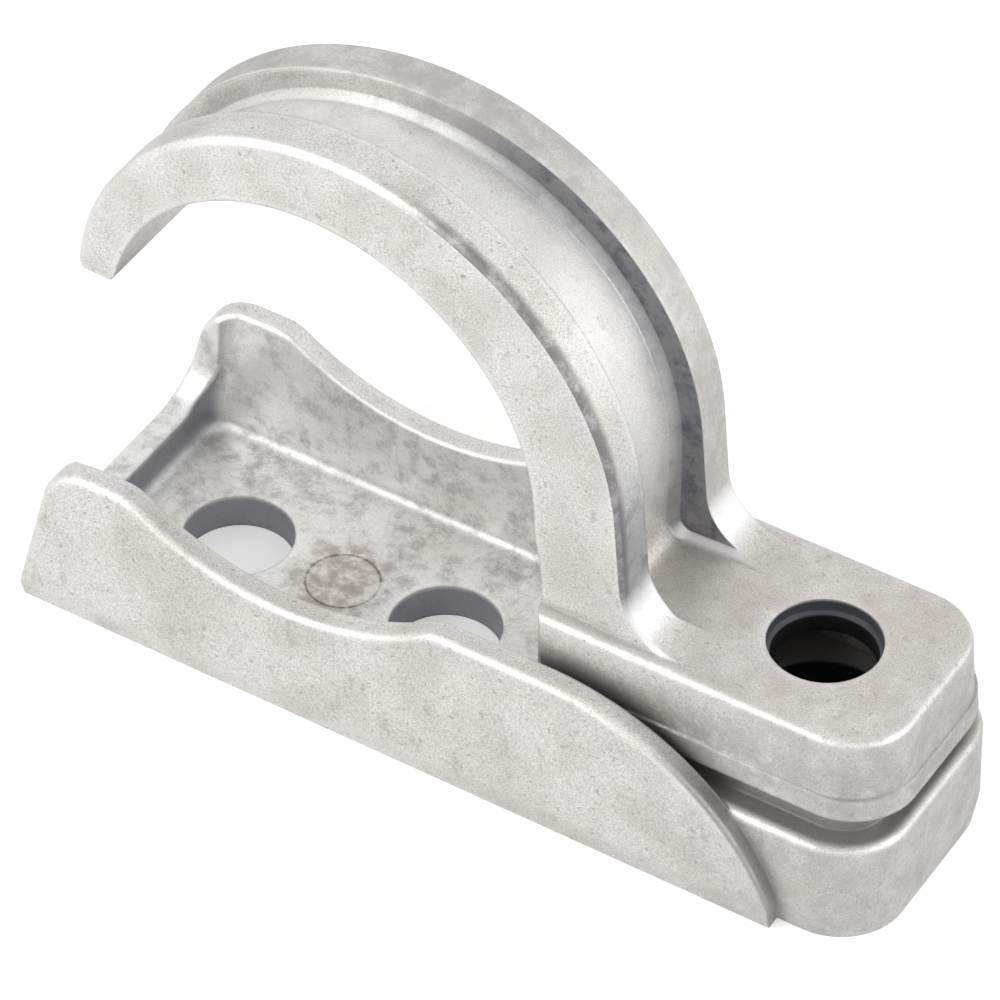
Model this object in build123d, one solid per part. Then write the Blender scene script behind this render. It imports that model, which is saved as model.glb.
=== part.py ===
from build123d import *
import os
from math import acos, asin, atan2, cos, degrees, dist, radians, sin, sqrt, tan

# Conduit strap: a hook casting whose foot rests on a clamp back casting.
# Millimetres. X runs along the length, Y along the conduit, Z up.
# X = 0 is under the conduit, Y = 0 the middle plane, Z = 0 the back face.

# seat for the conduit, inside the hook
SEAT_R = 17.0
SEAT_Z = 23.7

# hook: outer curve, tip and leg
HOOK_WALL = 4.7
HOOK_SHIFT_X = 1.8
HOOK_SHIFT_Z = 0.9
HOOK_HALF_WIDTH = 6.0
WIDTH_GAIN = 0.038
TIP_BEND_ANGLE = 148
TIP_BEND_GAIN = 1.6
TIP_RISE = 3.6
TIP_INNER_ROUND = 1.2
TIP_OUTER_ROUND = 0.7
LEG_BULGE = 0.6
LEG_DROP = 5.5
LEG_WALL = 6.25
LEG_BLEND_R = 4.7
LAND_EDGE_BEVEL = 0.3

# channel between the two lands of the hook
LAND_WIDTH = 3.2
CHANNEL_SHIFT_X = 1.6
CHANNEL_SHIFT_Z = 0.7
CHANNEL_WALL = 2.8
CHANNEL_END_ANGLE = 156
CHANNEL_RUNOUT_R = 6.0
CHANNEL_FOOT_R = 1.6
CHANNEL_FLOOR_BEVEL = 0.6

# tray of the clamp back
TRAY_HALF_WIDTH = 10.75
TRAY_WALL = 1.85
TRAY_PARTING = 2.1
TRAY_BOTTOM_INSET = 0.55
TRAY_LEFT_MARGIN = 5.0
TRAY_LEFT_LEAN = 15.1
TRAY_TOP = 13.9
TRAY_SHOULDER_R = 4.0
SADDLE_SHIFT_X = -0.6
SADDLE_RISE = 3.25
SADDLE_EASE = 3.0
CUSP_ROUND = 3.0
NOSE_R = 18.95
NOSE_START_GAP = 2.85
WALL_OUTER_ROUND = 0.6
WALL_INNER_ROUND = 0.4
FLOOR_TOP = 2.8
TRAY_END_WALL = 2.8
HOLLOW_LEFT_LEAN = 3.0
HOLLOW_CORNER_R = 2.2
HOLLOW_FLOOR_ROUND = 1.0
NOTCH_SIDE = 0.5
NOTCH_BOTTOM = 5.2
NOTCH_R = 3.6

# holes for the wall screws in the tray's floor
FLOOR_HOLE_X = -10.94
FLOOR_HOLE_PITCH = 16.92
FLOOR_HOLE_R = 3.95

# block of the clamp back that carries the foot
BLOCK_HEEL_GAP = 6.4
BLOCK_REACH = 0.4
BLOCK_TOP = 8.3
BLOCK_SIDE_STEP = 1.35
BLOCK_TOP_INSET = 0.15
BLOCK_BOTTOM_INSET = 0.3
BLOCK_CORNER_R = 5.1
BLOCK_TOP_ROUND = 0.8
SEAT_BOSS_INSET = 1.8
SEAT_BOSS_HEIGHT = 2.05
BLOCK_BORE_R = 4.5
CORE_DEPTH = 5.0
CORE_WALL = 2.4
CORE_CORNER_R = 2.0

# foot of the strap, between the tray's walls
SIDE_CLEARANCE = 0.45
FOOT_HEIGHT = 6.35
FOOT_LENGTH = 26.3
FOOT_LIP_HEIGHT = 1.65
FOOT_LIP_FLARE = 0.15
FOOT_LIP = 0.1
FOOT_TOP_INSET = 0.35
FOOT_CORNER_R = 4.8
FOOT_HEEL_R = 2.0
FOOT_TOP_ROUND = 0.6
FOOT_PLATE = 2.6
FOOT_WALL = 2.1

# screw hole through the foot and the block under it
SCREW_HEEL_GAP = 17.5
SCREW_RIM_R = 3.87
SCREW_RIM_DEPTH = 1.1
SCREW_R = 3.6

# sizes that follow from the ones above
HOOK_R = SEAT_R + HOOK_WALL
HOOK_CENTRE = (HOOK_SHIFT_X, SEAT_Z + HOOK_SHIFT_Z)
CHANNEL_R = SEAT_R + CHANNEL_WALL
CHANNEL_CENTRE = (CHANNEL_SHIFT_X, SEAT_Z + CHANNEL_SHIFT_Z)
HEEL_X = SEAT_R + LEG_BULGE
LEG_OUTER_X = HEEL_X + LEG_WALL
FOOT_BOTTOM = BLOCK_TOP + SEAT_BOSS_HEIGHT
FOOT_TOP = FOOT_BOTTOM + FOOT_HEIGHT
FOOT_PARTING = FOOT_BOTTOM + FOOT_LIP_HEIGHT
FOOT_END_X = HEEL_X + FOOT_LENGTH
HOLLOW_HALF_WIDTH = TRAY_HALF_WIDTH - TRAY_WALL
TRAY_LEFT_REACH = SEAT_R + TRAY_LEFT_MARGIN
HOLLOW_LEFT_REACH = TRAY_LEFT_REACH - TRAY_END_WALL
NOSE_START_X = SEAT_R + NOSE_START_GAP
FOOT_LIP_HALF_WIDTH = HOLLOW_HALF_WIDTH - SIDE_CLEARANCE
FOOT_HALF_WIDTH = FOOT_LIP_HALF_WIDTH - FOOT_LIP_FLARE - FOOT_LIP
SCREW_X = HEEL_X + SCREW_HEEL_GAP
BLOCK_LEFT_X = HEEL_X + BLOCK_HEEL_GAP
BLOCK_END_X = FOOT_END_X + FOOT_LIP + BLOCK_REACH
BLOCK_HALF_WIDTH = TRAY_HALF_WIDTH - BLOCK_SIDE_STEP


def on_circle(centre, radius, angle):
    return (
        centre[0] + radius * cos(radians(angle)),
        centre[1] + radius * sin(radians(angle)),
    )


def side_prism(face, half_depth=2 * TRAY_HALF_WIDTH):
    return extrude(Plane.XZ * face, amount=half_depth, both=True)


def end_prism(face, half_length=4 * SEAT_R):
    return extrude(Plane.YZ * face, amount=half_length, both=True)


def plan_wedge(half_width):
    # plan outline that widens evenly towards the foot
    left = -2 * SEAT_R
    right = 3 * SEAT_R
    half_left = half_width + WIDTH_GAIN * left
    half_right = half_width + WIDTH_GAIN * right
    corners = [(left, -half_left), (right, -half_right), (right, half_right), (left, half_left)]
    return extrude(make_face(Polyline(*corners, close=True)), amount=5 * SEAT_R)


def round_corner(face, point, radius):
    corner = face.vertices().sort_by_distance((*point, 0))[:1]
    return fillet(corner, radius)


def hook_outline():
    tip_z = SEAT_Z + TIP_RISE
    bend = on_circle(HOOK_CENTRE, HOOK_R, TIP_BEND_ANGLE)
    bend_r = HOOK_R - TIP_BEND_GAIN
    bend_centre = on_circle(bend, -bend_r, TIP_BEND_ANGLE)
    drop = tip_z - bend_centre[1]
    outer_tip = (bend_centre[0] - sqrt(bend_r**2 - drop**2), tip_z)
    bend_turn = 180 - degrees(asin(drop / bend_r)) - TIP_BEND_ANGLE
    inner_tip = (-sqrt(SEAT_R**2 - TIP_RISE**2), tip_z)
    inner_end = 180 - degrees(asin(TIP_RISE / SEAT_R))
    leg_bend = (HEEL_X, SEAT_Z - LEG_DROP)
    blend_centre = (LEG_OUTER_X + LEG_BLEND_R, FOOT_TOP + LEG_BLEND_R)
    blend_foot = (blend_centre[0], FOOT_TOP)
    # the leg's outside is a straight that touches both arcs
    across = (blend_centre[0] - HOOK_CENTRE[0], blend_centre[1] - HOOK_CENTRE[1])
    touch = acos((HOOK_R + LEG_BLEND_R) / dist(blend_centre, HOOK_CENTRE))
    lean = degrees(touch + atan2(across[1], across[0]))
    blend_top = on_circle(blend_centre, LEG_BLEND_R, 180 + lean)
    root_z = FOOT_TOP - FOOT_PLATE / 2
    lines = [
        CenterArc(HOOK_CENTRE, HOOK_R, lean, TIP_BEND_ANGLE - lean),
        CenterArc(bend_centre, bend_r, TIP_BEND_ANGLE, bend_turn),
        Line(outer_tip, inner_tip),
        CenterArc((0, SEAT_Z), SEAT_R, 0, inner_end),
        Spline((SEAT_R, SEAT_Z), leg_bend, tangents=[(0, -1), (0, -1)]),
        Polyline(leg_bend, (HEEL_X, root_z), (blend_foot[0], root_z), blend_foot),
        CenterArc(blend_centre, LEG_BLEND_R, 180 + lean, 90 - lean),
        Line(blend_top, on_circle(HOOK_CENTRE, HOOK_R, lean)),
    ]
    return round_corner(make_face(lines), outer_tip, TIP_OUTER_ROUND), inner_tip


def is_outer_edge(edge):
    # true on the hook's outer curve and down the outside of the leg
    middle = edge @ 0.5
    reach = sqrt(middle.X**2 + (middle.Z - SEAT_Z) ** 2)
    return reach > SEAT_R + HOOK_WALL / 2 and middle.Z > FOOT_TOP


def hook_body():
    outline, inner_tip = hook_outline()
    body = side_prism(outline) & plan_wedge(HOOK_HALF_WIDTH)
    sides = body.faces().sort_by(Axis.Y)
    rims = [e for side in (sides[0], sides[-1]) for e in side.edges() if is_outer_edge(e)]
    return chamfer(rims, LAND_EDGE_BEVEL) & side_prism(round_corner(outline, inner_tip, TIP_INNER_ROUND))


def channel_cutter():
    floor_start = on_circle(CHANNEL_CENTRE, CHANNEL_R, 0)
    floor_end = on_circle(CHANNEL_CENTRE, CHANNEL_R, CHANNEL_END_ANGLE)
    runout_centre = on_circle(floor_end, CHANNEL_RUNOUT_R, CHANNEL_END_ANGLE)
    runout_end = on_circle(runout_centre, CHANNEL_RUNOUT_R, CHANNEL_END_ANGLE + 90)
    far = on_circle(runout_end, CHANNEL_RUNOUT_R, CHANNEL_END_ANGLE)
    foot_bend = (floor_start[0] + CHANNEL_FOOT_R, FOOT_TOP)
    leg_end = (floor_start[0], FOOT_TOP + CHANNEL_FOOT_R)
    right = LEG_OUTER_X + LEG_BLEND_R + 2
    top = HOOK_CENTRE[1] + HOOK_R + 5
    lines = [
        Line(leg_end, floor_start),
        CenterArc(CHANNEL_CENTRE, CHANNEL_R, 0, CHANNEL_END_ANGLE),
        CenterArc(runout_centre, CHANNEL_RUNOUT_R, CHANNEL_END_ANGLE + 180, -90),
        Polyline(runout_end, far, (far[0], top), (right, top), (right, FOOT_TOP), foot_bend),
        CenterArc((foot_bend[0], leg_end[1]), CHANNEL_FOOT_R, 180, 90),
    ]
    cutter = side_prism(make_face(lines)) & plan_wedge(HOOK_HALF_WIDTH - LAND_WIDTH)
    walls = cutter.faces().sort_by(Axis.Y)
    rims = []
    for edge in walls[0].edges() + walls[-1].edges():
        middle = edge @ 0.5
        if middle.Z < top - 0.1 and far[0] + 0.1 < middle.X < right - 0.1:
            rims.append(edge)
    return chamfer(rims, CHANNEL_FLOOR_BEVEL)


def foot_plan(half_width, end_x, height):
    # plan of the foot; its heel is cut off square later
    left = HEEL_X - 2 * FOOT_CORNER_R
    plan = RectangleRounded(end_x - left, 2 * half_width, FOOT_CORNER_R)
    return Pos((left + end_x) / 2, 0, height) * plan


def heel_keep():
    # cuts the heel flush with the inside of the leg, with rounded corners
    length = 2 * FOOT_LENGTH
    plan = RectangleRounded(length, 2 * FOOT_LIP_HALF_WIDTH, FOOT_HEEL_R)
    return extrude(Pos(HEEL_X + length / 2, 0, 0) * plan, amount=FOOT_TOP + 5)


def foot_body():
    rise = FOOT_TOP - FOOT_PARTING
    draft = degrees(atan2(FOOT_TOP_INSET, rise))
    upper = extrude(foot_plan(FOOT_HALF_WIDTH, FOOT_END_X, FOOT_PARTING), amount=rise, taper=draft)
    upper = fillet(upper.faces().sort_by(Axis.Z)[-1].edges(), FOOT_TOP_ROUND)
    flare = degrees(atan2(FOOT_LIP_FLARE, FOOT_LIP_HEIGHT))
    lip_end = FOOT_END_X + FOOT_LIP + FOOT_LIP_FLARE
    lip = foot_plan(FOOT_LIP_HALF_WIDTH, lip_end, FOOT_BOTTOM)
    lower = extrude(lip, amount=FOOT_LIP_HEIGHT, taper=flare)
    return (upper + lower) & heel_keep()


def foot_pocket():
    left = HEEL_X + FOOT_WALL
    right = FOOT_END_X - FOOT_WALL
    half = FOOT_HALF_WIDTH - FOOT_WALL
    plan = RectangleRounded(right - left, 2 * half, FOOT_CORNER_R - FOOT_WALL)
    return extrude(Pos((left + right) / 2, 0, FOOT_BOTTOM) * plan, amount=FOOT_HEIGHT - FOOT_PLATE)


def strap_bore():
    bore = Pos(SCREW_X, 0, FOOT_TOP) * Cylinder(SCREW_R, 2 * FOOT_HEIGHT)
    rim = Pos(SCREW_X, 0, FOOT_TOP) * Cylinder(SCREW_RIM_R, 2 * SCREW_RIM_DEPTH)
    return bore + rim


def make_strap():
    hook = hook_body() - channel_cutter()
    return hook + (foot_body() - foot_pocket()) - strap_bore()


def tray_outline():
    lean = tan(radians(TRAY_LEFT_LEAN))
    left = -TRAY_LEFT_REACH
    top_left = (left + lean * (TRAY_TOP - TRAY_PARTING), TRAY_TOP)
    saddle_r = SEAT_R + SADDLE_EASE
    saddle_bottom = SEAT_Z - SEAT_R + SADDLE_RISE
    reach = sqrt(saddle_r**2 - (saddle_bottom + saddle_r - TRAY_TOP) ** 2)
    left_cusp = (SADDLE_SHIFT_X - reach, TRAY_TOP)
    right_cusp = (SADDLE_SHIFT_X + reach, TRAY_TOP)
    nose_centre = (NOSE_START_X, TRAY_TOP - NOSE_R)
    nose_angle = degrees(asin((TRAY_PARTING - nose_centre[1]) / NOSE_R))
    nose = on_circle(nose_centre, NOSE_R, nose_angle)
    lines = [
        Polyline((nose[0], 0), (left, 0), (left, TRAY_PARTING), top_left, left_cusp),
        ThreePointArc(left_cusp, (SADDLE_SHIFT_X, saddle_bottom), right_cusp),
        Line(right_cusp, (NOSE_START_X, TRAY_TOP)),
        CenterArc(nose_centre, NOSE_R, 90, nose_angle - 90),
        Line(nose, (nose[0], 0)),
    ]
    face = make_face(lines)
    face = round_corner(face, top_left, TRAY_SHOULDER_R)
    face = round_corner(face, left_cusp, CUSP_ROUND)
    return round_corner(face, right_cusp, CUSP_ROUND)


def tray_outside():
    half = TRAY_HALF_WIDTH
    foot = half - TRAY_BOTTOM_INSET
    top = TRAY_TOP + 1
    corners = [(foot, 0), (half, TRAY_PARTING), (half, top), (-half, top), (-half, TRAY_PARTING), (-foot, 0)]
    section = make_face(Polyline(*corners, close=True))
    return side_prism(tray_outline()) & end_prism(section)


def tray_hollow():
    lean = tan(radians(HOLLOW_LEFT_LEAN))
    left = -HOLLOW_LEFT_REACH
    top = TRAY_TOP + 5
    right = BLOCK_END_X + 10
    corners = [(left, FLOOR_TOP), (right, FLOOR_TOP), (right, top), (left + lean * (top - FLOOR_TOP), top)]
    hollow = side_prism(make_face(Polyline(*corners, close=True)), HOLLOW_HALF_WIDTH)
    left_face = hollow.faces().sort_by(Axis.X)[0]
    posts = [e for e in left_face.edges() if abs((e % 0.5).Z) > 0.5]
    hollow = fillet(posts, HOLLOW_CORNER_R)
    return fillet(hollow.faces().sort_by(Axis.Z)[0].edges(), HOLLOW_FLOOR_ROUND)


def end_notch():
    half = HOLLOW_HALF_WIDTH - NOTCH_SIDE
    height = 2 * TRAY_TOP
    plan = Rectangle(2 * half, height)
    corners = plan.vertices().sort_by(Axis.Y)[:2]
    face = Plane.YZ * Pos(0, NOTCH_BOTTOM + height / 2, 0) * fillet(corners, NOTCH_R)
    start = HOLLOW_CORNER_R - HOLLOW_LEFT_REACH + 1
    return Pos(start, 0, 0) * extrude(face, amount=-TRAY_LEFT_REACH)


def tray_outer_rims(tray):
    # outside edges of the two walls, from the parting line up
    rims = []
    for edge in tray.edges():
        middle = edge @ 0.5
        if abs(middle.Y) > TRAY_HALF_WIDTH - 0.01 and middle.Z > TRAY_PARTING + 0.01:
            rims.append(edge)
    return rims


def tray_inner_rims(tray):
    # inside edges of the walls' tops, and the rims of the end notch
    end_face = tray.faces().sort_by(Axis.X)[0]
    rims = [e for e in end_face.edges() if (e @ 0.5).Z > NOTCH_BOTTOM - 0.01]
    turn_z = NOTCH_BOTTOM + NOTCH_R
    for edge in tray.edges():
        middle = edge @ 0.5
        run = edge % 0.5
        side = HOLLOW_HALF_WIDTH - abs(middle.Y)
        on_wall = abs(side) < 0.01 and middle.Z > FLOOR_TOP + HOLLOW_FLOOR_ROUND
        on_notch = 0.01 < side < NOTCH_SIDE + 0.01 and middle.Z > turn_z + 0.1
        if (on_wall or on_notch) and abs(run.Z) < 0.95:
            rims.append(edge)
        elif side > NOTCH_SIDE and -0.01 < middle.Z - NOTCH_BOTTOM < 0.2 and abs(run.Y) > 0.9:
            rims.append(edge)
    return [e for e in rims if abs((e @ 0.5).Y) < TRAY_HALF_WIDTH - 0.01]


def tray_body():
    tray = tray_outside() - tray_hollow() - end_notch()
    tray = fillet(tray_inner_rims(tray), WALL_INNER_ROUND)
    return fillet(tray_outer_rims(tray), WALL_OUTER_ROUND)


def block_plan(inset, height):
    left = BLOCK_LEFT_X - 2 * BLOCK_CORNER_R
    end = BLOCK_END_X - inset
    plan = RectangleRounded(end - left, 2 * (BLOCK_HALF_WIDTH - inset), BLOCK_CORNER_R - inset)
    return Pos((left + end) / 2, 0, height) * plan


def right_of(x):
    return Pos(x + BLOCK_END_X, 0, 0) * Box(2 * BLOCK_END_X, 4 * TRAY_HALF_WIDTH, 4 * TRAY_TOP)


def block_body():
    rise = BLOCK_TOP - TRAY_PARTING
    draft = degrees(atan2(BLOCK_TOP_INSET, rise))
    upper = extrude(block_plan(0, TRAY_PARTING), amount=rise, taper=draft)
    upper = fillet(upper.faces().sort_by(Axis.Z)[-1].edges(), BLOCK_TOP_ROUND)
    flare = degrees(atan2(BLOCK_BOTTOM_INSET, TRAY_PARTING))
    lower = extrude(block_plan(BLOCK_BOTTOM_INSET, 0), amount=TRAY_PARTING, taper=-flare)
    boss = extrude(block_plan(BLOCK_TOP_INSET + SEAT_BOSS_INSET, 0), amount=FOOT_BOTTOM)
    block = (upper + lower) & right_of(BLOCK_LEFT_X)
    return block + (boss & right_of(BLOCK_LEFT_X + SEAT_BOSS_INSET))


def block_core():
    left = BLOCK_LEFT_X + CORE_WALL
    right = BLOCK_END_X - CORE_WALL
    half = BLOCK_HALF_WIDTH - CORE_WALL
    plan = RectangleRounded(right - left, 2 * half, CORE_CORNER_R)
    return extrude(Pos((left + right) / 2, 0, 0) * plan, amount=CORE_DEPTH)


def make_clamp_back():
    clamp_back = tray_body() + block_body() - block_core()
    for x in (FLOOR_HOLE_X, FLOOR_HOLE_X + FLOOR_HOLE_PITCH):
        clamp_back -= Pos(x, 0, 0) * Cylinder(FLOOR_HOLE_R, 4 * FLOOR_TOP)
    return clamp_back - Pos(SCREW_X, 0, 0) * Cylinder(BLOCK_BORE_R, 4 * FOOT_BOTTOM)


def main():
    os.makedirs("parts", exist_ok=True)
    pieces = {"strap": make_strap(), "clamp_back": make_clamp_back()}
    for name, piece in pieces.items():
        print(name, len(piece.solids()), "solid", round(piece.volume, 1), "mm3")
        export_step(piece, f"parts/{name}.step")


main()
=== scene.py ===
import bpy
from mathutils import Matrix, Vector

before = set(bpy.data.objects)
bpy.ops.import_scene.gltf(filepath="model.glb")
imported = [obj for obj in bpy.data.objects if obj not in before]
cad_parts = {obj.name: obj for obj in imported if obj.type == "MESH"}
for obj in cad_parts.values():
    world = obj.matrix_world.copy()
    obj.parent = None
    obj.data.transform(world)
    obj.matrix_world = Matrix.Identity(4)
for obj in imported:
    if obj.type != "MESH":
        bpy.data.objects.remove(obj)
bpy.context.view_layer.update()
print("frame loaded")


class SurfacePen:
    # one material's nodes; places are in mm, and tone is the colour so far
    def __init__(self, name):
        self.mat = bpy.data.materials.new(name)
        self.mat.use_nodes = True
        self.tree = self.mat.node_tree
        self.tree.nodes.clear()
        self.place = self.add("ShaderNodeTexCoord").outputs["Object"]
        self.normal = self.add("ShaderNodeNewGeometry").outputs["Normal"]
        self.x, self.y, self.z = [self.maths("MULTIPLY", part, 1000.0) for part in self.parts(self.place)]
        self.facingX, self.facingY, self.facingUp = self.parts(self.normal)
        self.side = self.maths("ABSOLUTE", self.y)

    def add(self, kind, **settings):
        node = self.tree.nodes.new(kind)
        for key, value in settings.items():
            setattr(node, key, value)
        return node

    def feed(self, socket, value):
        if isinstance(value, bpy.types.NodeSocket):
            self.tree.links.new(value, socket)
        elif isinstance(value, tuple) and socket.type == "RGBA":
            socket.default_value = (*value, 1)
        else:
            socket.default_value = value

    def parts(self, vector):
        node = self.add("ShaderNodeSeparateXYZ")
        self.feed(node.inputs[0], vector)
        return list(node.outputs)

    def maths(self, operation, first, second=0.0):
        node = self.add("ShaderNodeMath", operation=operation)
        self.feed(node.inputs[0], first)
        self.feed(node.inputs[1], second)
        return node.outputs[0]

    def reachFrom(self, centreX, centreZ=None):
        # distance from an upright axis, or from one along Y where centreZ is given
        first = self.maths("SUBTRACT", self.x, centreX)
        second = self.y if centreZ is None else self.maths("SUBTRACT", self.z, centreZ)
        squares = [self.maths("POWER", away, 2.0) for away in (first, second)]
        return self.maths("SQRT", self.maths("ADD", *squares))

    def noise(self, size, detail, rough=0.55, stretch=None):
        spot = self.place
        if stretch:
            scale = self.add("ShaderNodeMapping")
            self.feed(scale.inputs["Vector"], spot)
            scale.inputs["Scale"].default_value = stretch
            spot = scale.outputs[0]
        tex = self.add("ShaderNodeTexNoise")
        self.feed(tex.inputs["Vector"], spot)
        tex.inputs["Scale"].default_value = 1000 / size
        tex.inputs["Detail"].default_value = detail
        tex.inputs["Roughness"].default_value = rough
        return tex.outputs["Fac"]

    def fade(self, value, low, high, start=0.0, end=1.0):
        node = self.add("ShaderNodeMapRange", interpolation_type="SMOOTHSTEP")
        for key, number in (("From Min", low), ("From Max", high), ("To Min", start), ("To Max", end)):
            node.inputs[key].default_value = number
        self.feed(node.inputs["Value"], value)
        return node.outputs["Result"]

    def below(self, value, limit, soft, share=1.0):
        return self.fade(value, limit, limit - soft, 0.0, share)

    def above(self, value, limit, soft, share=1.0):
        return self.fade(value, limit, limit + soft, 0.0, share)

    def patchy(self, spread, shares):
        # a share that changes from patch to patch of the casting
        return self.fade(self.patch, *spread, *shares)

    def blend(self, share, first, second, kind="MIX"):
        node = self.add("ShaderNodeMix", data_type="RGBA", blend_type=kind)
        self.feed(node.inputs[0], share)
        self.feed(node.inputs[6], first)
        self.feed(node.inputs[7], second)
        return node.outputs[2]

    def stain(self, colour, *shares):
        # lays a colour over the tone where all the shares meet
        whole = shares[0]
        for share in shares[1:]:
            whole = self.maths("MULTIPLY", whole, share)
        self.tone = self.blend(whole, self.tone, colour)

    def finish(self, skin):
        out = self.add("ShaderNodeOutputMaterial")
        self.feed(out.inputs["Surface"], skin.outputs[0])
        return self.mat


# one tumbled cast surface for both castings; sizes in mm, tones are linear
castLook = {
    "bodyTone": (0.745, 0.734, 0.716),
    "warmTone": (0.575, 0.543, 0.510),
    "dirtTone": (0.330, 0.318, 0.310),
    "recessShadeTone": (0.135, 0.145, 0.175),
    "edgeWearAndHighlightTone": (0.960, 0.957, 0.950),
    "cloudSize": 6.0,
    "patchSize": 1.8,
    "smearSize": 1.1,
    "grainSize": 0.12,
    "speckSize": 0.42,
    "metalShare": 0.60,
    "roughLow": 0.32,
    "roughHigh": 0.50,
    "grainDark": 0.72,
    "grainBright": 1.23,
    "grainDepth": 0.016,
    "grainStrength": 0.7,
    "recessShadeReach": 1.7,
    "edgeReach": 1.0,
    "edgeWearAndHighlightShare": 0.60,
    "edgeRound": 0.28,
    "raySamples": 3,
}


def castMottle(name):
    # body tone with warm patches, smears, sandy grain and dark specks
    pen = SurfacePen(name)
    cloud = pen.noise(castLook["cloudSize"], 3)
    pen.patch = pen.noise(castLook["patchSize"], 5, 0.68)
    smear = pen.noise(castLook["smearSize"], 4, 0.60, (1.0, 1.0, 0.45))
    pen.grain = pen.noise(castLook["grainSize"], 2, 0.75)
    speck = pen.noise(castLook["speckSize"], 1, 0.50)

    pen.tone = pen.blend(pen.fade(cloud, 0.38, 0.66, 0.0, 0.6), castLook["bodyTone"], castLook["warmTone"])
    pen.stain(castLook["warmTone"], pen.patchy((0.50, 0.80), (0.0, 0.55)))
    pen.stain(castLook["dirtTone"], pen.fade(smear, 0.56, 0.80, 0.0, 0.50))
    shade = pen.add("ShaderNodeCombineColor")
    level = pen.fade(pen.grain, 0.25, 0.75, castLook["grainDark"], castLook["grainBright"])
    for socket in shade.inputs:
        pen.feed(socket, level)
    pen.tone = pen.blend(1.0, pen.tone, shade.outputs[0], "MULTIPLY")
    pen.stain(castLook["dirtTone"], pen.fade(speck, 0.67, 0.75, 0.0, 0.60))
    return pen


def cornersAndEdges(pen):
    # painted shade: tight corners go dark and blue; edges go bright with wear and painted highlight
    corner = pen.add("ShaderNodeAmbientOcclusion", samples=castLook["raySamples"])
    corner.inputs["Distance"].default_value = castLook["recessShadeReach"] / 1000
    openness = corner.outputs["AO"]
    offFloor = pen.fade(pen.z, 0.4, 2.2)
    pen.stain(castLook["recessShadeTone"], pen.fade(openness, 0.74, 0.22), offFloor)
    wide = pen.add("ShaderNodeBevel", samples=castLook["raySamples"])
    wide.inputs["Radius"].default_value = castLook["edgeReach"] / 1000
    turn = pen.add("ShaderNodeVectorMath", operation="DOT_PRODUCT")
    pen.feed(turn.inputs[0], wide.outputs[0])
    pen.feed(turn.inputs[1], pen.normal)
    # edges brighter, partly wear and partly painted highlight
    edge = pen.fade(turn.outputs["Value"], 0.995, 0.82, 0.0, castLook["edgeWearAndHighlightShare"])
    pen.stain(castLook["edgeWearAndHighlightTone"], edge, pen.fade(openness, 0.72, 0.92))


def castSkin(pen):
    skin = pen.add("ShaderNodeBsdfPrincipled")
    skin.inputs["Metallic"].default_value = castLook["metalShare"]
    pen.feed(skin.inputs["Base Color"], pen.tone)
    pen.feed(skin.inputs["Roughness"], pen.patchy((0.3, 0.7), (castLook["roughLow"], castLook["roughHigh"])))
    bevel = pen.add("ShaderNodeBevel", samples=castLook["raySamples"])
    bevel.inputs["Radius"].default_value = castLook["edgeRound"] / 1000
    bump = pen.add("ShaderNodeBump")
    bump.inputs["Strength"].default_value = castLook["grainStrength"]
    bump.inputs["Distance"].default_value = castLook["grainDepth"] / 1000
    pen.feed(bump.inputs["Height"], pen.grain)
    pen.feed(bump.inputs["Normal"], bevel.outputs[0])
    pen.feed(skin.inputs["Normal"], bump.outputs[0])
    return pen.finish(skin)


# the end with the screw: painted shade on the flanks, and painted shade in the hole through both castings
screwEnd = {
    "flankShadeFromX": 20.0,
    "flankShadeToX": 46.0,
    "flankShadeTone": (0.400, 0.392, 0.384),
    "holeX": 35.1,
    "holeReach": 4.7,
    "rimTop": 16.68,
    "rimBottom": 15.6,
    "holeShadeTone": (0.030, 0.030, 0.034),
    "rimShadeTone": (0.130, 0.133, 0.150),
}


def paintedFlankShade(pen):
    # painted shade: upright faces darker towards the screw end
    along = pen.fade(pen.x, screwEnd["flankShadeFromX"], screwEnd["flankShadeToX"])
    upright = pen.fade(pen.facingUp, 0.75, 0.25)
    pen.stain(screwEnd["flankShadeTone"], along, upright, pen.patchy((0.35, 0.65), (0.35, 0.65)))


def paintedHoleShade(pen):
    # painted shade: the rim of the screw hole dark, the hole below it near black
    inside = pen.below(pen.reachFrom(screwEnd["holeX"]), screwEnd["holeReach"], 0.2)
    pen.stain(screwEnd["rimShadeTone"], inside, pen.below(pen.z, screwEnd["rimTop"], 0.3))
    pen.stain(screwEnd["holeShadeTone"], inside, pen.below(pen.z, screwEnd["rimBottom"], 0.25))


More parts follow.
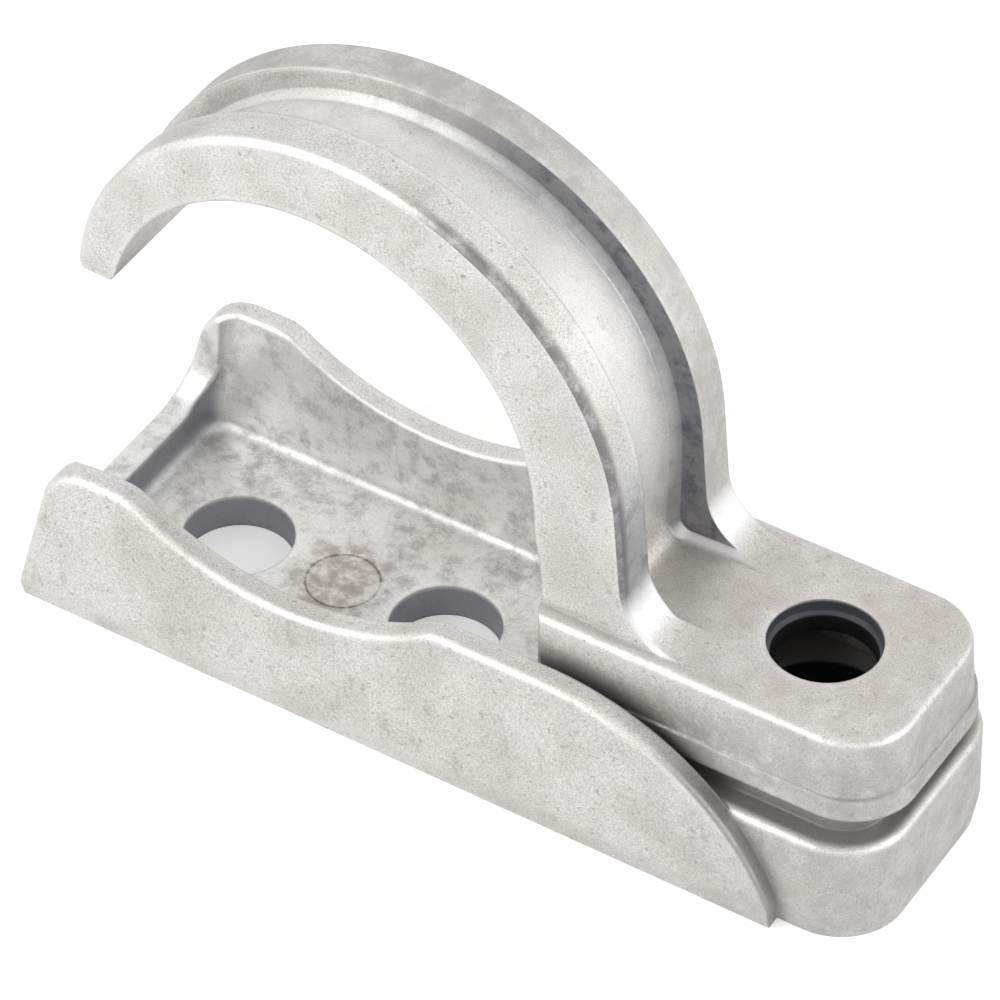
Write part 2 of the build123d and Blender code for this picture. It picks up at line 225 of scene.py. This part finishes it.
# strap: painted sheen on the channel floor, painted shade on the far land and its wall, painted shade, a
# dark streak and painted highlights on the leg, and darker low on the foot
strapLook = {
    "hookX": 1.6,
    "hookZ": 24.4,
    "channelFromReach": 18.2,
    "channelToReach": 20.4,
    "channelHalfWidth": 3.9,
    "channelBottomZ": 16.5,
    "paintedSheenTone": (0.930, 0.935, 0.930),
    "paintedSheenShare": 0.50,
    "landFromReach": 19.9,
    "farLandY": 2.6,
    "farLandBottomZ": 17.0,
    "farLandShadeTone": (0.470, 0.455, 0.440),
    "farWallY": 1.5,
    "farWallHalfWidth": 4.6,
    "farWallBottomZ": 15.0,
    "farWallShadeTone": (0.110, 0.117, 0.146),
    "legBottomZ": 18.0,
    "legBlueToY": 1.0,
    "legBlueTopZ": 32.0,
    "legBlueFullZ": 24.0,
    "legBlueShadeTone": (0.250, 0.265, 0.312),
    "widthGain": 0.038,
    "streakInnerY": -4.8,
    "streakFromX": 3.0,
    "streakFullX": 12.0,
    "streakTone": (0.155, 0.147, 0.150),
    "blendTopZ": 21.2,
    "blendBottomZ": 16.72,
    "blendFromX": 21.5,
    "blendHighlightTone": (0.960, 0.965, 0.970),
    "plateTopZ": 17.6,
    "plateShadeShare": 0.42,
    "plateShadeTone": (0.480, 0.440, 0.400),
    "footDarkZ": 16.4,
    "footDarkEndX": 38.0,
    "footDarkFullX": 26.0,
    "footTone": (0.290, 0.277, 0.268),
}


def legShadeStreakAndGlint(pen, around):
    # painted shade: near land and channel go blue low on the leg
    pen.stain(
        strapLook["legBlueShadeTone"],
        pen.below(pen.y, strapLook["legBlueToY"], 4.0),
        pen.fade(pen.z, strapLook["legBlueTopZ"], strapLook["legBlueFullZ"]),
        pen.above(pen.z, strapLook["legBottomZ"], 2.5),
        pen.fade(pen.facingX, 0.55, 0.85),
        pen.patchy((0.32, 0.60), (1.0, 0.5)),
    )
    # dark streak down the near land, along its rim; the hook widens towards the foot
    widening = pen.maths("ADD", pen.maths("MULTIPLY", pen.x, strapLook["widthGain"]), pen.y)
    pen.stain(
        strapLook["streakTone"],
        pen.below(widening, strapLook["streakInnerY"], 0.8),
        pen.above(around, strapLook["landFromReach"], 0.5),
        pen.fade(pen.facingY, -0.95, -0.80),
        pen.fade(pen.x, strapLook["streakFromX"], strapLook["streakFullX"], 0.0, 0.85),
        pen.above(pen.z, strapLook["legBottomZ"], 2.5),
        pen.patchy((0.35, 0.55), (0.55, 1.0)),
    )
    # painted highlight: the blends from the lands into the foot shine
    pen.stain(
        strapLook["blendHighlightTone"],
        pen.fade(pen.facingUp, 0.12, 0.45),
        pen.fade(pen.facingUp, 0.95, 0.70),
        pen.below(pen.z, strapLook["blendTopZ"], 1.2, 0.65),
        pen.above(pen.z, strapLook["blendBottomZ"], 0.3),
        pen.above(pen.x, strapLook["blendFromX"], 1.0),
    )


def strapMaterial():
    pen = castMottle("strapCast")
    cornersAndEdges(pen)
    around = pen.reachFrom(strapLook["hookX"], strapLook["hookZ"])
    # painted sheen: floor of the channel brighter
    pen.stain(
        strapLook["paintedSheenTone"],
        pen.below(around, strapLook["channelToReach"], 0.4, strapLook["paintedSheenShare"]),
        pen.above(around, strapLook["channelFromReach"], 0.4),
        pen.below(pen.side, strapLook["channelHalfWidth"], 0.3),
        pen.above(pen.z, strapLook["channelBottomZ"], 1.0),
        pen.patchy((0.30, 0.60), (1.0, 0.6)),
    )
    # painted shade: top of the far land darker
    pen.stain(
        strapLook["farLandShadeTone"],
        pen.above(around, strapLook["landFromReach"], 0.5),
        pen.above(pen.z, strapLook["farLandBottomZ"], 3.0),
        pen.above(pen.y, strapLook["farLandY"], 0.4),
        pen.patchy((0.35, 0.65), (0.35, 0.85)),
    )
    # painted shade on the wall of the far land inside the channel, darker towards the leg
    pen.stain(
        strapLook["farWallShadeTone"],
        pen.above(pen.y, strapLook["farWallY"], 0.5),
        pen.below(pen.side, strapLook["farWallHalfWidth"], 0.4),
        pen.fade(pen.facingY, -0.45, -0.85),
        pen.above(pen.z, strapLook["farWallBottomZ"], 3.0),
        pen.fade(pen.x, 3.0, 13.0, 0.12, 0.97),
        pen.patchy((0.32, 0.62), (1.0, 0.55)),
    )
    legShadeStreakAndGlint(pen, around)
    paintedFlankShade(pen)
    # painted shade: flat top of the plate darker and warmer; then the foot darker low down, towards the leg
    onPlate = pen.below(pen.z, strapLook["plateTopZ"], 0.8, strapLook["plateShadeShare"])
    flat = pen.fade(pen.facingUp, 0.6, 0.95)
    pen.stain(strapLook["plateShadeTone"], onPlate, flat, pen.patchy((0.30, 0.60), (0.35, 1.0)))
    low = pen.below(pen.z, strapLook["footDarkZ"], 4.0)
    nearLeg = pen.fade(pen.x, strapLook["footDarkEndX"], strapLook["footDarkFullX"], 0.25, 1.0)
    pen.stain(strapLook["footTone"], low, nearLeg, pen.patchy((0.32, 0.56), (0.25, 0.95)))
    paintedHoleShade(pen)
    return castSkin(pen)


# clamp back: tray, block under the foot, side walls, floor holes and pin mark
clampBackLook = {
    "trayEndX": 24.5,
    "trayHalfWidth": 9.1,
    "trayFloorZ": 2.4,
    "paintedSheenTone": (0.930, 0.935, 0.930),
    "paintedSheenShare": 0.50,
    "smudgeTone": (0.270, 0.276, 0.292),
    "blockTopZ": 7.95,
    "blockTopX": 23.0,
    "blockTopShadeTone": (0.230, 0.219, 0.214),
    "lowEndX": -16.5,
    "lowEndShadeTone": (0.190, 0.200, 0.230),
    "noseFromX": 27.0,
    "noseToX": 38.9,
    "noseShadeTone": (0.170, 0.167, 0.168),
    "floorHolesX": (-10.94, 5.98),
    "floorHoleReach": 4.10,
    "floorHoleShadeTone": (0.330, 0.342, 0.390),
    "floorHoleRimZ": 2.75,
    "floorHoleDarkZ": 2.35,
    "floorTopZ": 2.8,
    "pinX": -2.35,
    "pinRadius": 2.6,
    "pinRingWidth": 0.16,
    "pinHalo": 2.0,
    "pinRingTone": (0.120, 0.115, 0.115),
    "pinHaloTone": (0.400, 0.355, 0.315),
}


def clampBackMaterial():
    pen = castMottle("clampBackCast")
    cornersAndEdges(pen)
    # painted sheen and smudges inside the tray
    inTray = [
        pen.below(pen.side, clampBackLook["trayHalfWidth"], 0.2),
        pen.below(pen.x, clampBackLook["trayEndX"], 0.5),
        pen.above(pen.z, clampBackLook["trayFloorZ"], 0.2),
    ]
    paintedSheen = clampBackLook["paintedSheenShare"]
    pen.stain(clampBackLook["paintedSheenTone"], *inTray, pen.patchy((0.35, 0.65), (paintedSheen, 0.45 * paintedSheen)))
    pen.stain(clampBackLook["smudgeTone"], *inTray, pen.patchy((0.44, 0.76), (0.0, 0.50)))
    # painted shade on the block, in the gap under the foot
    pen.stain(
        clampBackLook["blockTopShadeTone"],
        pen.above(pen.z, clampBackLook["blockTopZ"], 0.4, 0.85),
        pen.above(pen.x, clampBackLook["blockTopX"], 0.6),
        pen.below(pen.side, clampBackLook["trayHalfWidth"], 0.1),
    )
    # painted shade on the inner side of the low left end
    atLowEnd = pen.below(pen.x, clampBackLook["lowEndX"], 1.0)
    pen.stain(clampBackLook["lowEndShadeTone"], pen.fade(pen.facingX, 0.35, 0.85, 0.0, 0.8), atLowEnd)
    # painted shade on the narrow top of the side walls where they run down to the nose
    pen.stain(
        clampBackLook["noseShadeTone"],
        pen.fade(pen.maths("ADD", pen.facingX, pen.facingUp), 0.75, 1.15, 0.0, 0.75),
        pen.above(pen.side, clampBackLook["trayHalfWidth"], 0.3),
        pen.above(pen.x, clampBackLook["noseFromX"], 5.0),
        pen.below(pen.x, clampBackLook["noseToX"], 0.3),
    )
    paintedFlankShade(pen)
    paintedHoleShade(pen)
    # painted shade on the inner walls of the floor holes
    inFloor = (clampBackLook["floorHoleRimZ"], clampBackLook["floorHoleDarkZ"])
    for holeX in clampBackLook["floorHolesX"]:
        inHole = pen.below(pen.reachFrom(holeX), clampBackLook["floorHoleReach"], 0.08)
        pen.stain(clampBackLook["floorHoleShadeTone"], inHole, pen.fade(pen.z, *inFloor, 0.0, 0.75))
    pinMark(pen)
    return castSkin(pen)


def pinMark(pen):
    # dark broken ring on the floor with a brown halo round it
    radius = clampBackLook["pinRadius"]
    reach = pen.reachFrom(clampBackLook["pinX"])
    onFloor = pen.maths("COMPARE", pen.z, clampBackLook["floorTopZ"])
    onFloor.node.inputs[2].default_value = 0.05
    halo = pen.fade(reach, radius + clampBackLook["pinHalo"], radius, 0.0, 0.80)
    pen.stain(clampBackLook["pinHaloTone"], halo, onFloor, pen.patchy((0.38, 0.58), (0.30, 1.0)))
    offRing = pen.maths("ABSOLUTE", pen.maths("SUBTRACT", reach, radius))
    ring = pen.fade(offRing, clampBackLook["pinRingWidth"], 0.0)
    pen.stain(clampBackLook["pinRingTone"], ring, onFloor, pen.patchy((0.35, 0.55), (0.25, 0.9)))


for nodeName, material in (("strap", strapMaterial()), ("clamp_back", clampBackMaterial())):
    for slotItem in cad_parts[nodeName].material_slots:
        slotItem.material = material
    print("surface on", nodeName)

# plain pale floor, soft lamps and an even glow; metres and watts
studio = {
    "floorSize": 3.0,
    "floorTone": 0.93,
    "floorLift": 0.30,
    "paperSize": 60.0,
    "worldGlow": 0.66,
    "lampAim": (0.01, 0.0, 0.015),
    "keyPower": 0.56,
    "keyPlace": (-0.15, -0.27, 0.14),
    "keySize": 0.24,
    "rimPower": 0.62,
    "rimPlace": (0.38, 0.06, 0.16),
    "rimSize": 0.26,
}


def makeFloor():
    bpy.ops.mesh.primitive_plane_add(size=studio["floorSize"])
    floor = bpy.context.object
    floor.name = "floor"
    pen = SurfacePen("floorPaper")
    dark, bright = [(studio["floorTone"] + step,) * 3 for step in (-0.01, 0.01)]
    skin = pen.add("ShaderNodeBsdfPrincipled")
    pen.feed(skin.inputs["Base Color"], pen.blend(pen.noise(studio["paperSize"], 2), dark, bright))
    skin.inputs["Roughness"].default_value = 0.9
    skin.inputs["Emission Color"].default_value = (1, 1, 1, 1)
    paths = pen.add("ShaderNodeLightPath")
    lift = pen.maths("MULTIPLY", paths.outputs["Is Camera Ray"], studio["floorLift"])
    pen.feed(skin.inputs["Emission Strength"], lift)
    floor.data.materials.append(pen.finish(skin))


def makeLamp(name):
    data = bpy.data.lights.new(name + "Lamp", "AREA")
    data.energy = studio[name + "Power"]
    data.size = studio[name + "Size"]
    lamp = bpy.data.objects.new(name + "Lamp", data)
    bpy.context.collection.objects.link(lamp)
    lamp.location = studio[name + "Place"]
    aim = Vector(studio["lampAim"]) - lamp.location
    lamp.rotation_euler = aim.to_track_quat("-Z", "Y").to_euler()


def makeWorld():
    # camera and gloss see plain white; other rays get the softer glow
    world = bpy.data.worlds.new("studioWorld")
    bpy.context.scene.world = world
    world.use_nodes = True
    tree = world.node_tree
    glow = tree.nodes["Background"]
    paths = tree.nodes.new("ShaderNodeLightPath")
    seen = tree.nodes.new("ShaderNodeMath")
    seen.operation = "MAXIMUM"
    tree.links.new(paths.outputs["Is Camera Ray"], seen.inputs[0])
    tree.links.new(paths.outputs["Is Glossy Ray"], seen.inputs[1])
    strength = tree.nodes.new("ShaderNodeMapRange")
    strength.inputs["To Min"].default_value = studio["worldGlow"]
    strength.inputs["To Max"].default_value = 1.0
    tree.links.new(seen.outputs[0], strength.inputs["Value"])
    tree.links.new(strength.outputs["Result"], glow.inputs["Strength"])
    glow.inputs["Color"].default_value = (1, 1, 1, 1)


# the photograph's camera: where it stands and how it is turned
cameraView = {
    "place": (0.164759, -0.249934, 0.294841),
    "right": (0.849452, 0.527660, 0.002457),
    "down": (0.364200, -0.582924, -0.726332),
    "forward": (-0.381824, 0.617879, -0.687340),
    "lens": 219.69,
}


def makeCamera():
    data = bpy.data.cameras.new("photoCamera")
    data.lens = cameraView["lens"]
    data.sensor_width = 36
    data.clip_start = 0.01
    camera = bpy.data.objects.new("photoCamera", data)
    bpy.context.collection.objects.link(camera)
    right = Vector(cameraView["right"])
    up = -Vector(cameraView["down"])
    back = -Vector(cameraView["forward"])
    turn = Matrix((right, up, back)).transposed().to_4x4()
    camera.matrix_world = Matrix.Translation(cameraView["place"]) @ turn
    bpy.context.scene.camera = camera


makeFloor()
makeLamp("key")
makeLamp("rim")
makeWorld()
makeCamera()
bpy.context.scene.view_settings.view_transform = "Standard"
print("studio and camera ready")
